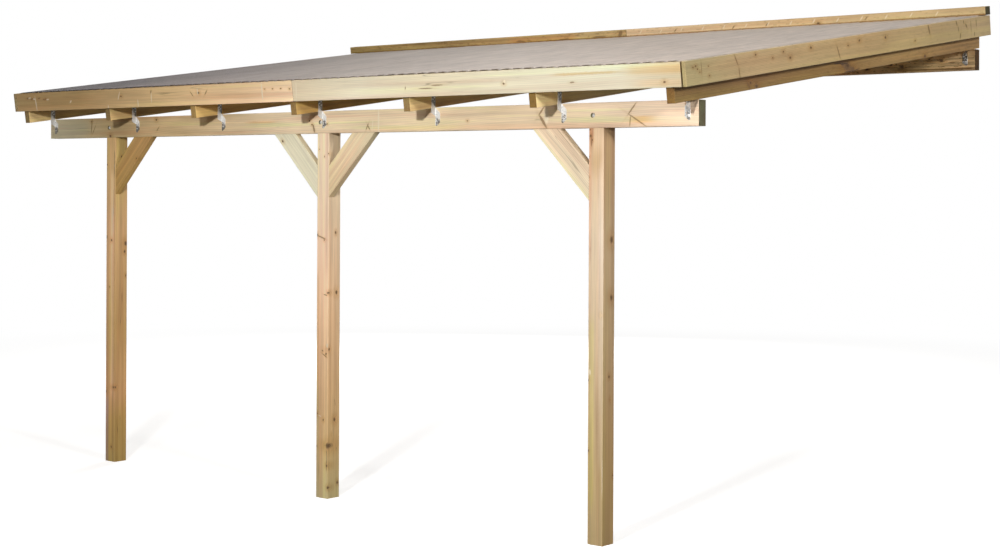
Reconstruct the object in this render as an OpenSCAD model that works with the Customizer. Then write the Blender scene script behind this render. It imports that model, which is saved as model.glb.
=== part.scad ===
// Lean-to wooden pergola: three posts, a front beam, sloping rafters that
// run back to a wall beam, and a roof of ribbed translucent sheets.
// Millimetres. X runs along the front, Y runs back to the wall, Z is up.
// The origin is the middle of the wall beam's back face, so the wall is y = 0.

/* [Posts] */
// Side of the square posts
post_side = 90; // [80:1:120]
// Height from the ground to the underside of the front beam
post_clear = 2010; // [1700:5:2800]
// From the beam's left end to the left post's left face
inset_left = 585; // [400:5:700]
// From the beam's right end to the right post's right face
inset_right = 545; // [400:5:700]

/* [Front beam] */
// Length of the front beam, end to end
beam_len = 5000; // [4600:10:6000]
// Height of the front beam
beam_h = 122; // [100:1:160]
// Thickness of the front beam
beam_t = 58; // [45:1:70]

/* [Wall beam] */
// Height of the wall beam
wall_beam_h = 122; // [100:1:160]
// Thickness of the wall beam
wall_beam_t = 60; // [45:1:80]
// From the wall to the front face of the front beam
reach = 2920; // [2400:5:3600]

/* [Rafters] */
// Thickness of a rafter
rafter_w = 45; // [36:1:60]
// Depth of a rafter, square to the slope
rafter_h = 145; // [120:1:180]
// Slope of the roof in degrees
slope = 8.0; // [4:0.1:12]
// Length of the rafter tail in front of the beam, along the slope
tail = 192; // [120:1:300]

/* [Braces] */
// Width of a brace
brace_w = 122; // [90:1:140]
// Thickness of a brace
brace_t = 40; // [30:1:60]
// Length of a brace's long edge along the post and along the beam
brace_leg = 352; // [300:1:500]

/* [Roof battens] */
// Width of a roof batten along the slope
batten_w = 45; // [36:1:70]
// Height of a roof batten
batten_h = 45; // [36:1:70]
// From the left end of the front beam to the inside of the left barge board
barge_gap_left = 48; // [30:1:100]
// From the right end of the front beam to the inside of the right barge board
barge_gap_right = 63; // [30:1:100]

/* [Fascia and barge boards] */
// Thickness of the fascia and barge boards
board_t = 20; // [16:1:28]
// Height of the fascia and barge boards, square to the slope
board_h = 115; // [100:1:150]
// Open joint between a fascia board and the board beside it
board_joint = 8; // [1:0.5:12]
// From the middle of the fourth rafter to where the fascia boards and the top battens meet
joint_shift = 26; // [-20:1:40]
// How far the boards, battens and sheets stop short of the wall, along the slope
wall_gap = 14; // [0:1:40]

/* [Roof sheets] */
// Distance from rib to rib
rib_pitch = 70; // [66:1:90]
// Height of a rib
rib_h = 8; // [6:1:20]
// Width of a rib's flat crest
rib_top = 42; // [30:1:44]
// Run of a rib's sloping side
rib_side = 6; // [4:1:8]
// Thickness of the sheet
sheet_t = 1.4; // [1.2:0.1:3]
// How far the sheets run past the front face of the fascia
drip = 4; // [0:1:40]

/* [Top batten] */
// Depth of the batten on the sheets along the wall
top_batten_w = 65; // [45:1:90]
// Height of the batten on the sheets along the wall
top_batten_h = 42; // [30:1:60]
// How far the top battens run past the left barge board
top_past_left = 45; // [0:1:60]
// How far the top battens run past the right barge board
top_past_right = 3; // [0:1:60]

/* [Rafter anchors] */
// Width of an anchor leg
anchor_w = 32; // [25:1:40]
// Length of each leg, measured from the top of the beam
anchor_leg = 96; // [70:1:100]
// Thickness of the anchor plate
anchor_t = 2; // [1.5:0.5:3]

/* [Post bolts] */
// Diameter of the bolt through the beam and the post's tongue
bolt_d = 10; // [8:1:12]
// Diameter of the recess for the bolt head
recess_d = 26; // [24:1:30]
// Depth of the recess for the bolt head
recess_depth = 12; // [8:1:16]
// From the left face of the post to the bolt
bolt_inset = 22; // [18:1:30]

/* [Hidden] */

rafter_count = 7;
batten_count = 5;
sheet_count = 5;

fit_clear = 0.3;      // between pieces that lie on each other without touching
bolt_clear = 0.5;     // radial play of the bolt in its bore
joint_line = 1;       // where two boards meet end to end
sheet_inset = 11;     // from the right side of the sheets to the barge board
cut = 1;              // how far a cutting shape runs past the piece
facets = 48;

// The rafters stand a little off an even pitch, as they were set out by hand
rafter_shift = [0, 5, -25, -10, 10, 20, 0];
fold_h = 45;          // height below the beam's top over which an anchor's two legs are one

// Across
half_len = beam_len / 2;
post_pitch = (beam_len - inset_left - inset_right - post_side) / 2;
post_x = [for (i = [0:2]) -half_len + inset_left + i * post_pitch];
rafter_pitch = (beam_len - rafter_w) / (rafter_count - 1);
rafter_x = [for (i = [0:rafter_count - 1]) -half_len + i * rafter_pitch + rafter_shift[i]];
inner_left = -half_len - barge_gap_left;     // insides of the barge boards
inner_right = half_len + barge_gap_right;
top_left = inner_left - board_t - top_past_left;
top_right = inner_right + board_t + top_past_right;
joint_x = rafter_x[3] + rafter_w / 2 + joint_shift;    // where boards meet end to end

// Heights: the roof plane is the underside of the rafters. It touches the
// front top edges of the front beam and of the wall beam.
wall_front = -wall_beam_t;
beam_front = -reach;
wall_beam_top = wall_beam_h / 2;
beam_top = wall_beam_top - (wall_front - beam_front) * tan(slope);
beam_bottom = beam_top - beam_h;
ground = beam_bottom - post_clear;

// Along the slope, measured from the front top edge of the front beam
cover_end = reach / cos(slope) - wall_gap;   // rear end of the boards, battens and sheets
cover_h = rafter_h + batten_h;               // top of the roof battens
board_low = cover_h - board_h;
batten_step = (cover_end + tail - batten_w) / (batten_count - 1);

// Sheets
valley = rib_pitch - rib_top - 2 * rib_side;
rib_total = floor((inner_right - inner_left - 2 * sheet_inset) / rib_pitch);
sheet_ribs = ceil(rib_total / sheet_count);
lap_lift = sheet_t + fit_clear;
crest_h = cover_h + rib_h + sheet_t;

// Height of the roof plane, raised by n square to the slope, at a given y
function roof_z(y, n) = beam_top + (y - beam_front) * tan(slope) + n / cos(slope);
// A point s up the slope and n above the roof plane, as [y, z]
function roof_pt(s, n) = [beam_front + s * cos(slope) - n * sin(slope),
                          beam_top + s * sin(slope) + n * cos(slope)];

module on_slope() {
    translate([0, beam_front, beam_top]) rotate([slope, 0, 0]) children();
}

// A side outline in [y, z], drawn out along X
module along_x(x, w) {
    translate([x, 0, 0]) rotate([90, 0, 90]) linear_extrude(w) children();
}

module post(i) {
    color("burlywood") difference() {
        translate([post_x[i], beam_front, ground])
            cube([post_side, post_side, post_clear + beam_h]);
        // seat for the beam; what is left behind it is the tongue
        translate([post_x[i] - cut, beam_front - cut, beam_bottom])
            cube([post_side + 2 * cut, beam_t + cut, beam_h + cut]);
        bolt_bore(i);
    }
}

module bolt_bore(i) {
    translate([post_x[i] + bolt_inset, beam_front - cut, beam_bottom + beam_h / 2])
        rotate([-90, 0, 0])
            cylinder(d = bolt_d + 2 * bolt_clear, h = post_side + 2 * cut, $fn = facets);
}

module front_beam() {
    color("burlywood") difference() {
        translate([-half_len, beam_front, beam_bottom]) cube([beam_len, beam_t, beam_h]);
        for (i = [0:2]) {
            bolt_bore(i);
            translate([post_x[i] + bolt_inset, beam_front - cut, beam_bottom + beam_h / 2])
                rotate([-90, 0, 0]) cylinder(d = recess_d, h = recess_depth + cut, $fn = facets);
        }
    }
}

module wall_beam() {
    color("peru") translate([-half_len, wall_front, wall_beam_top - wall_beam_h])
        cube([beam_len, wall_beam_t, wall_beam_h]);
}

// side is 1 for a brace that climbs to the right of its post, -1 to the left
module brace(i, side) {
    mitre = brace_w * sqrt(2);
    x = post_x[i] + (side > 0 ? post_side : 0);
    color("tan") translate([x, beam_front + brace_t, beam_bottom]) scale([side, 1, 1])
        rotate([90, 0, 0]) linear_extrude(brace_t)
            polygon([[0, -brace_leg], [0, mitre - brace_leg], [brace_leg - mitre, 0],
                     [brace_leg, 0]]);
}

module rafter(i) {
    color("tan") along_x(rafter_x[i], rafter_w)
        polygon([roof_pt(-tail, 0), roof_pt(-tail, rafter_h),
                 [0, roof_z(0, rafter_h)], [0, roof_z(0, 0)]]);
}

module roof_batten(i) {
    color("tan") on_slope() translate([inner_left, -tail + i * batten_step, rafter_h])
        cube([inner_right - inner_left, batten_w, batten_h]);
}

module fascia(x0, x1) {
    color("wheat") on_slope() translate([x0, -tail - board_t, board_low])
        cube([x1 - x0, board_t, board_h]);
}

module barge_board(x) {
    color("tan") on_slope() translate([x, -tail - board_t, board_low])
        cube([board_t, cover_end + tail + board_t, board_h]);
}

// Upper outline of one rib that starts in mid valley
function rib_line(x) = [[x + valley / 2, 0], [x + valley / 2 + rib_side, rib_h],
                        [x + valley / 2 + rib_side + rib_top, rib_h],
                        [x + rib_pitch - valley / 2, 0]];

module roof_sheet(i) {
    ribs = min(sheet_ribs, rib_total - i * sheet_ribs);
    lap = i < sheet_count - 1 ? 1 : 0;       // one rib lies under or over the next sheet
    x0 = inner_right - sheet_inset - rib_total * rib_pitch + i * sheet_ribs * rib_pitch;
    w = (ribs + lap) * rib_pitch;
    line = concat([[0, 0]], [for (k = [0:ribs + lap - 1]) each rib_line(k * rib_pitch)], [[w, 0]]);
    back = [for (k = [len(line) - 1:-1:0]) line[k] + [0, sheet_t]];
    color([0.62, 0.58, 0.57, 0.75]) on_slope()
        translate([x0, cover_end, cover_h + (i % 2) * lap_lift]) rotate([90, 0, 0])
            linear_extrude(cover_end + tail + board_t + drip) polygon(concat(line, back));
}

module top_batten(x0, x1) {
    color("tan") on_slope() translate([x0, cover_end - top_batten_w, crest_h + lap_lift])
        cube([x1 - x0, top_batten_w, top_batten_h]);
}

// Angled plate with two legs at right angles that meet at an upright fold on the
// corner between rafter and beam. The upper leg lies on the rafter's side in
// front of the beam and hangs a little below it, the lower one on the face of the
// beam. z is the top of the beam; side is 1 on a rafter's right, -1 on its left.
module anchor(x, y, z, side) {
    tip = anchor_w * 0.6;
    slant = fold_h - anchor_w / 2;
    translate([x, y, z]) scale([side, 1, 1]) {
        rotate([90, 0, 0]) linear_extrude(anchor_t)
            polygon([[0, 0], [anchor_t, 0], [anchor_w, -slant],
                     [anchor_w, tip - anchor_leg], [tip / 2, -anchor_leg],
                     [0, tip / 3 - anchor_leg]]);
        rotate([90, 0, 90]) linear_extrude(anchor_t)
            polygon([[0, -fold_h], [0, anchor_leg - tip / 3], [-tip / 2, anchor_leg],
                     [-anchor_w, anchor_leg - tip], [-anchor_w, -slant]]);
    }
}

// The last rafter has its anchors on the left, inside the frame
function anchor_x(i) = i < rafter_count - 1 ? rafter_x[i] + rafter_w : rafter_x[i];
function anchor_side(i) = i < rafter_count - 1 ? 1 : -1;

module front_anchors() {
    color("silver") for (i = [0:rafter_count - 1])
        anchor(anchor_x(i), beam_front, beam_top, anchor_side(i));
}

module wall_anchors() {
    color("silver") for (i = [0:rafter_count - 1])
        anchor(anchor_x(i), wall_front, wall_beam_top, anchor_side(i));
}

// Bolt through the front beam and the post's tongue, with its nut behind
module post_bolts() {
    hex_d = 1.9 * bolt_d;
    head_h = 0.65 * bolt_d;
    nut_h = 0.8 * bolt_d;
    head_y = recess_depth - head_h;
    shank = post_side + 1.5 * nut_h - head_y;
    color("silver") for (i = [0:2])
        translate([post_x[i] + bolt_inset, beam_front, beam_bottom + beam_h / 2])
            rotate([-90, 0, 0]) {
                translate([0, 0, head_y]) cylinder(d = hex_d, h = head_h, $fn = 6);
                translate([0, 0, head_y]) cylinder(d = bolt_d, h = shank, $fn = facets);
                translate([0, 0, post_side]) cylinder(d = hex_d, h = nut_h, $fn = 6);
            }
}

post(0);  // post_left
post(1);  // post_middle
post(2);  // post_right
front_beam();
wall_beam();
brace(0, 1);  // brace_left
brace(1, -1);  // brace_middle_left
brace(1, 1);  // brace_middle_right
brace(2, -1);  // brace_right
rafter(0);  // rafter_1
rafter(1);  // rafter_2
rafter(2);  // rafter_3
rafter(3);  // rafter_4
rafter(4);  // rafter_5
rafter(5);  // rafter_6
rafter(6);  // rafter_7
roof_batten(0);  // roof_batten_1
roof_batten(1);  // roof_batten_2
roof_batten(2);  // roof_batten_3
roof_batten(3);  // roof_batten_4
roof_batten(4);  // roof_batten_5
fascia(inner_left + board_joint, joint_x - joint_line / 2);  // fascia_left
fascia(joint_x + joint_line / 2, inner_right - board_joint);  // fascia_right
barge_board(inner_left - board_t);  // barge_board_left
barge_board(inner_right);  // barge_board_right
roof_sheet(0);  // roof_sheet_1
roof_sheet(1);  // roof_sheet_2
roof_sheet(2);  // roof_sheet_3
roof_sheet(3);  // roof_sheet_4
roof_sheet(4);  // roof_sheet_5
top_batten(top_left, joint_x - joint_line / 2);  // top_batten_left
top_batten(joint_x + joint_line / 2, top_right);  // top_batten_right
front_anchors();
wall_anchors();
post_bolts();
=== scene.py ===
import math
import random

import bmesh
import bpy
from mathutils import Matrix, Vector


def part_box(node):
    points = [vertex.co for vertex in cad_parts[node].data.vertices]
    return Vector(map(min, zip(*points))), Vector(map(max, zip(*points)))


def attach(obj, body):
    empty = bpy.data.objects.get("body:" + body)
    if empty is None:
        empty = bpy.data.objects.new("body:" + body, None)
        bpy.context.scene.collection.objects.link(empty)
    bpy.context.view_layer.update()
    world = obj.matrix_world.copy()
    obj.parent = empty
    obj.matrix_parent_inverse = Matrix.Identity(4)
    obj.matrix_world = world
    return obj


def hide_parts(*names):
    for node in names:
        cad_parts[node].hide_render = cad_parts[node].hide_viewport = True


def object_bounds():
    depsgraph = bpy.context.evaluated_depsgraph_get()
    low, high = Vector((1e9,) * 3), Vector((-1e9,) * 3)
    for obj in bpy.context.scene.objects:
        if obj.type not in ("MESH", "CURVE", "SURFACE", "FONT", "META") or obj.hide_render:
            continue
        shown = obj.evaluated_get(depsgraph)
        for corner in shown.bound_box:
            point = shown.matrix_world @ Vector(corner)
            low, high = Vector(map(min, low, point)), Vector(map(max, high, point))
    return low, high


# Lean-to wooden pergola: eased, knotty timbers, steel anchors and ribbed smoke-tinted
# sheets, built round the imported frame. Metres, X right, Y back to the wall, Z up.

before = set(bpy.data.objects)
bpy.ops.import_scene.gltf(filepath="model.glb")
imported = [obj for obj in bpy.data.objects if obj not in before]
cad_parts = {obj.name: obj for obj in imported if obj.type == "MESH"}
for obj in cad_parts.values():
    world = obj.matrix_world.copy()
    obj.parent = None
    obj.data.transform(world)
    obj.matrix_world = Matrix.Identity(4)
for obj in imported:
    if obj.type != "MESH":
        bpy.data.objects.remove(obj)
cadLow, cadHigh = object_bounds()
print("frame loaded:", len(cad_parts), "nodes")

# Where things lie, worked out from the frame
beamLow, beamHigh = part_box("front_beam")
wallLow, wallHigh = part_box("wall_beam")
ground = cadLow.z


def middleOf(node):
    low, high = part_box(node)
    return (low + high) / 2


lowBatten, topBatten = middleOf("roof_batten_1"), middleOf("roof_batten_5")
slope = math.atan2(topBatten.z - lowBatten.z, topBatten.y - lowBatten.y)
upSlope = Vector((0, math.cos(slope), math.sin(slope)))
offSlope = Vector((0, -math.sin(slope), math.cos(slope)))
eave = Vector((0, beamLow.y, beamHigh.z))       # the roof plane meets the front beam here
right, back, up = Vector((1, 0, 0)), Vector((0, 1, 0)), Vector((0, 0, 1))


# Length along the slope and height square to it of a board that lies on the slope
def slopeSize(node):
    low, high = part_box(node)
    deep, tall = high.y - low.y, high.z - low.z
    c, s = math.cos(slope), math.sin(slope)
    spread = c * c - s * s
    return (deep * c - tall * s) / spread, (tall * c - deep * s) / spread


def addObject(name, data):
    made = bpy.data.objects.new(name, data)
    bpy.context.scene.collection.objects.link(made)
    return made


def thicken(solid, faces, move):
    grown = bmesh.ops.extrude_face_region(solid, geom=faces)["geom"]
    bmesh.ops.translate(solid, vec=move,
                        verts=[v for v in grown if isinstance(v, bmesh.types.BMVert)])
    bmesh.ops.recalc_face_normals(solid, faces=solid.faces[:])


def meshOf(name, solid):
    bmesh.ops.recalc_face_normals(solid, faces=solid.faces[:])
    mesh = bpy.data.meshes.new(name)
    solid.to_mesh(mesh)
    solid.free()
    return mesh


# A point x across, s up the slope and n above the roof plane
def roofPoint(x, s, n):
    return eave + right * x + upSlope * s + offSlope * n


# A frame whose x runs along the grain, with its origin at one end of the piece
def placeAt(origin, along, behind):
    above = along.cross(behind)
    place = Matrix((along, behind, above)).transposed().to_4x4()
    place.translation = origin
    return place


# A socket of a shader tree; sums on it add the nodes
class Wire:
    def __init__(self, tree, socket=None):
        self.tree, self.socket = tree, socket

    def node(self, kind, settings=None, values=None, out=0):
        made = self.tree.nodes.new("ShaderNode" + kind)
        for key, value in (settings or {}).items():
            if key == "stops":
                while len(made.color_ramp.elements) < len(value):
                    made.color_ramp.elements.new(1)
                for stop, (at, colour) in zip(made.color_ramp.elements, value):
                    stop.position, stop.color = at, (*colour, 1)
            else:
                setattr(made, key, value)
        for key, value in (values or {}).items():
            if isinstance(value, Wire):
                self.tree.links.new(value.socket, made.inputs[key])
            else:
                made.inputs[key].default_value = value
        return Wire(self.tree, made.outputs[out]) if made.outputs else None

    def maths(self, operation, *others):
        pair = (self, *others)
        if all(isinstance(x, (int, float)) or isinstance(x, Wire) and x.socket.type == "VALUE"
               for x in pair):
            return self.node("Math", {"operation": operation}, dict(enumerate(pair)))
        pair = [(x,) * 3 if isinstance(x, (int, float)) else x for x in pair]
        return self.node("VectorMath", {"operation": operation}, dict(enumerate(pair)))

    def __add__(self, other):
        return self.maths("ADD", other)

    def __sub__(self, other):
        return self.maths("SUBTRACT", other)

    def __mul__(self, other):
        return self.maths("MULTIPLY", other)

    def __rsub__(self, other):
        return self * -1 + other

    __radd__, __rmul__ = __add__, __mul__

    def lowest(self, other):
        return self.maths("MINIMUM", other)

    def power(self, other):
        return self.maths("POWER", other)

    def part(self, axis):
        return self.node("SeparateXYZ", None, {0: self}, out=axis)

    # 0 below low and 1 above high; the other way round where low is the larger
    def rise(self, low, high):
        return self.node("MapRange", {"interpolation_type": "SMOOTHSTEP"},
                         {"Value": self, "From Min": low, "From Max": high})

    def noise(self, detail=2, rough=0.5, out="Fac"):
        values = {"Vector": self, "Scale": 1, "Detail": detail, "Roughness": rough}
        return self.node("TexNoise", None, values, out=out)

    def attribute(self, name, out="Fac"):
        return self.node("Attribute", {"attribute_name": name}, out=out)

    def bump(self, strength, distance):
        values = {"Height": self, "Strength": strength, "Distance": distance}
        return self.node("Bump", None, values, out="Normal")

    def dot(self, other):
        return self.node("VectorMath", {"operation": "DOT_PRODUCT"}, {0: self, 1: other}, out="Value")

    def apart(self, other):
        return self.node("VectorMath", {"operation": "DISTANCE"}, {0: self, 1: other}, out="Value")

    # this much of the other colour laid over this one
    def over(self, share, other):
        return self.node("Mix", {"data_type": "RGBA"}, {0: share, 6: self, 7: other}, out=2)

    def blend(self, share, low, high):
        return self.node("Mix", {"data_type": "RGBA"}, {0: share, 6: (*low, 1), 7: (*high, 1)}, out=2)


def newMaterial(name):
    material = bpy.data.materials.new(name)
    material.use_nodes = True
    material.node_tree.nodes.clear()
    return material, Wire(material.node_tree)


def finish(wire, shader):
    wire.node("OutputMaterial", None, {"Surface": shader})


pineLook = {
    "green": (0.9, 1.03, 0.84),        # what the green treatment does to a colour
    "pink": (1.1, 0.95, 0.92),
    "knot": (0.085, 0.045, 0.018),
    "knotPale": (0.33, 0.19, 0.085),
    "pitch": (0.88, 0.76, 0.56),       # dried pitch
    "gap": (0.06, 0.034, 0.018),       # inside a crack
    "halo": (0.8, 0.66, 0.48),         # what a knot does to the wood round it
    "spikeHalo": (0.82, 0.72, 0.54),
    "torn": (0.46, 0.38, 0.3),
    "knotLong": 0.72,                  # what a distance from a knot counts along the grain
    "knotDeep": 0.3,                   # and into the wood, beside 1 across the board
    "rings": 240,                      # in a metre, as are the patterns: along, into, across
    "band": (0.55, 30, 30), "streak": (1.3, 75, 75), "fibre": (7, 420, 420),
    "patch": (2.6, 13, 13), "drift": (1.1, 9, 9), "fleck": (22, 75, 75), "ragged": 90,
    "wander": (0.8, 2.5, 2.5), "hair": (1.1, 34, 34), "hairs": (1.9, 9, 9), "cells": (5, 9, 9),
    "cellKnot": 0.04,                  # the size of a knot in these cells
    "pith": (0, 0.4, -0.3), "shine": 0.35,
}

# What a board's look may say; the rest is taken from here. Places are measured along the
# board from its first end and across it from its middle, in metres.
plainBoard = {
    "tones": [(0.5, (0.6, 0.4, 0.19))],      # share of the length, colour
    "flank": (0.92, 0.9, 0.85), "cutEnd": (0.5, 0.46, 0.4),
    "streaks": 0.2, "bands": 0.3, "patches": 0.16, "tint": 0.5, "lean": 0, "rings": 0.14,
    "stripes": [],        # from, to, middle, half width, colour times this
    "knots": [],          # along, across, radius; on the face that is seen most
    "sideKnots": [],      # the same on the face at its right or top
    "spikes": [],         # knots cut lengthwise: along, across, half height, half width, lean
    "pitch": [],          # pale marks, given in the same way
    "cracks": [],         # from, to, across, half width
    "specks": 0.1,        # share of small knots that lie anywhere
    "flecks": 0,          # short dark tears of a rough saw
}


# A soft window: 1 between low and high, 0 beyond, with an edge this wide
def between(wire, low, high, edge):
    return wire.rise(low - edge, low + edge) * wire.rise(high + edge, high - edge)


# How far a point is from the nearest of these slanting marks, counted in their own sizes
def slits(spot, marks):
    near = spot.part(0) * 0 + 9
    for x, across, high, wide, lean in marks:
        leaning = spot.dot((1, 0, -lean)) - x + lean * across
        squeezed = (leaning * (1 / wide)).power(2) + ((spot.part(2) - across) * (1 / high)).power(2)
        near = near.lowest(squeezed.power(0.5))
    return near


def pine(name, look, low, high):
    look = {**plainBoard, **look}
    length = high.x - low.x
    material, wire = newMaterial(name)
    grain, place = wire.attribute("grain", "Vector"), wire.attribute("place", "Vector")
    cut, flank = wire.attribute("cut"), wire.attribute("flank")

    # knots: the distance to the nearest one, counted in its own radii
    ragged = (place * pineLook["ragged"]).noise(2, out="Color") - 0.5
    spot = place + ragged * (0.01, 0.007, 0.007)
    long, deep = pineLook["knotLong"], pineLook["knotDeep"]
    onFace, onSide = spot * (long, deep, 1), spot * (long, 1, deep)
    spots = [(onFace, (x * long, low.y * deep, across), size) for x, across, size in look["knots"]]
    spots += [(onSide, (x * long, across, high.z * deep), size)
              for x, across, size in look["sideKnots"]]
    near = grain.part(0) * 0 + 9
    for where, centre, size in spots:
        near = near.lowest(where.apart(centre) * (1 / size))
    cells = {"Vector": grain * pineLook["cells"], "Scale": 1, "Randomness": 1}
    kind = wire.node("TexVoronoi", None, cells, out="Color").part(0)
    away = wire.node("TexVoronoi", None, cells, out="Distance") * (1 / pineLook["cellKnot"])
    near = near.lowest(away + kind.rise(look["specks"], look["specks"] + 0.02) * 9)
    fine = place + ragged * (0.004, 0.003, 0.003)
    spike = slits(fine, look["spikes"]) + flank * 9
    pitch = slits(fine, look["pitch"]) + flank * 9
    swirl = ((near * 0.6).power(3) + 1).power(-1)

    # growth rings round a pith that wanders along the board
    wander = (grain * pineLook["wander"]).noise(1, out="Color") - 0.5
    ringAt = grain * (0, 1, 1) + wander * (0, 0.05, 0.05)
    radius = ringAt.apart(pineLook["pith"]) + swirl * 0.01
    ring = ((radius * pineLook["rings"]) + (radius * 40).noise(1)).maths("FRACT")
    late = ring.rise(0.3, 0.9) * ring.rise(1, 0.93)

    # bands, streaks and fibres along the grain, and larger patches
    bent = grain + wander * (0, 0.01, 0.01) + swirl * (0, 0.008, 0.008)
    band = (bent * pineLook["band"] + (5.1, 1.9, 3.3)).noise(2)
    streak = (bent * pineLook["streak"]).noise(3, 0.6)
    fibre = (bent * pineLook["fibre"]).noise(2, 0.6)
    patch = (bent * pineLook["patch"] + (7.7, 3.1, 5.9)).noise(2)
    drift = (bent * pineLook["drift"] + (2.2, 8.1, 4.4)).noise(2)

    stops = look["tones"]
    at = place.part(0) * (1 / length) + (patch - 0.5) * 0.1
    if len(stops) == 1:
        stops = stops + [(0.9, stops[0][1])]
    colour = at.node("ValToRGB", {"stops": stops}, {0: at}, out="Color")
    colour = colour.over(flank, colour * look["flank"])
    for first, last, middle, half, times in look["stripes"]:
        across = (spot.part(2) - middle + (streak - 0.5) * 0.012).maths("ABSOLUTE")
        stripe = across.rise(half * 1.5, half * 0.5) * between(spot.part(0), first, last, 0.06)
        colour = colour.over(stripe * (1 - flank), colour * times)
    colour = colour * ((streak - 0.5) * (2.6 * look["streaks"])
                       + (band - 0.5) * (2 * look["bands"])
                       + (patch - 0.5) * (2 * look["patches"]) + 1)
    lean = drift * 0.4 + band * 0.6 + look["lean"]
    colour = colour.over(lean.rise(0.51, 0.64) * look["tint"], colour * pineLook["green"])
    colour = colour.over(lean.rise(0.49, 0.36) * look["tint"], colour * pineLook["pink"])
    colour = colour * (1 + look["rings"] * 0.45 - late * look["rings"])
    colour = colour * ((fibre - 0.5) * 0.3 + 1)

    if look["flecks"]:
        torn = (bent * pineLook["fleck"] + (6.1, 0.7, 2.4)).noise(3, 0.65).rise(0.55, 0.64)
        colour = colour.over(torn * look["flecks"], colour * pineLook["torn"])

    # knots with a dark heart and a warm halo drawn out along the grain
    inKnot, heart = near.rise(1.2, 0.7), near.rise(0.85, 0.2)
    knotRing = (near * 2.4 + fibre * 0.8).maths("FRACT").rise(0.2, 0.9)
    knotColour = wire.blend(knotRing, pineLook["knotPale"], pineLook["knot"])
    colour = colour.over(near.rise(4.6, 0.8) * 0.55, colour * pineLook["halo"])
    colour = colour.over(inKnot * 0.8, knotColour)
    colour = colour.over(heart * 0.85, (*pineLook["knot"], 1))
    colour = colour.over(spike.rise(3, 0.9) * 0.32, colour * pineLook["spikeHalo"])
    spikeColour = wire.blend(fibre, pineLook["knot"], pineLook["knotPale"])
    colour = colour.over(spike.rise(1.2, 0.7) * 0.75, spikeColour)
    colour = colour.over(pitch.rise(1.3, 0.6) * 0.75, (*pineLook["pitch"], 1))

    # drying cracks
    gap = grain.part(0) * 0
    for first, last, across, half in look["cracks"]:
        away = (bent.part(2) - grain.part(2) + place.part(2) - across).maths("ABSOLUTE")
        gap = gap + away.rise(half * 1.5, half * 0.5) * between(place.part(0), first, last, 0.02)
    line = ((bent * pineLook["hair"] + (1.3, 6.6, 2.9)).noise(1) - 0.5).maths("ABSOLUTE")
    hairs = (grain * pineLook["hairs"] + (9, 1, 4)).noise(1).rise(0.6, 0.66)
    gap = (gap + line.rise(0.01, 0.001) * hairs * 0.5).lowest(1)
    colour = colour.over(gap * 0.8, (*pineLook["gap"], 1))

    colour = colour.over(cut, colour * look["cutEnd"] * (1 - late * 0.4))
    rough = fibre * 0.16 + late * 0.06 + 0.54 + cut * 0.15
    height = late * 0.25 + fibre * 0.5 - gap * 3 - inKnot * 0.5 + streak * 0.4 \
        + pitch.rise(1.3, 0.6) * 0.8
    finish(wire, wire.node("BsdfPrincipled", None, {
        "Base Color": colour, "Roughness": rough, "Normal": height.bump(0.5, 0.0012),
        "Specular IOR Level": pineLook["shine"]}))
    return material


timberLook = {
    "ease": 0.0022,
    "endFrom": 0.6, "flankFrom": 0.75,     # a sawn end or a flank faces its way this squarely
    # shares of the layout: the long sides' length, then where the sawn ends start and their size
    "long": 0.93, "endAt": (0.94, (0.52, 0.02)), "endSize": (0.055, 0.45),
}
seedOf = random.Random(11)


# The long sides are four strips side by side, and the sawn ends fill what is left
def layOut(mesh, low, high):
    layer = mesh.uv_layers.new(name="OFBake")
    span = high - low
    around = 2 * (span.y + span.z)
    starts, at = {}, 0
    for axis, side, wide in ((1, 1, span.z), (2, 1, span.y), (1, -1, span.z), (2, -1, span.y)):
        starts[axis, side] = at
        at += wide / around
    (endX, endYs), (endTall, endWide) = timberLook["endAt"], timberLook["endSize"]
    for face in mesh.polygons:
        n = face.normal
        axis = 1 if abs(n.y) >= abs(n.z) else 2
        side = 1 if n[axis] > 0 else -1
        for loop in face.loop_indices:
            p = mesh.vertices[mesh.loops[loop].vertex_index].co - low
            if abs(n.x) > timberLook["endFrom"]:
                spot = (endX + endTall * p.z / span.z, endYs[n.x > 0] + endWide * p.y / span.y)
            else:
                spot = (timberLook["long"] * p.x / span.x, starts[axis, side] + p[3 - axis] / around)
            layer.data[loop].uv = spot


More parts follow.
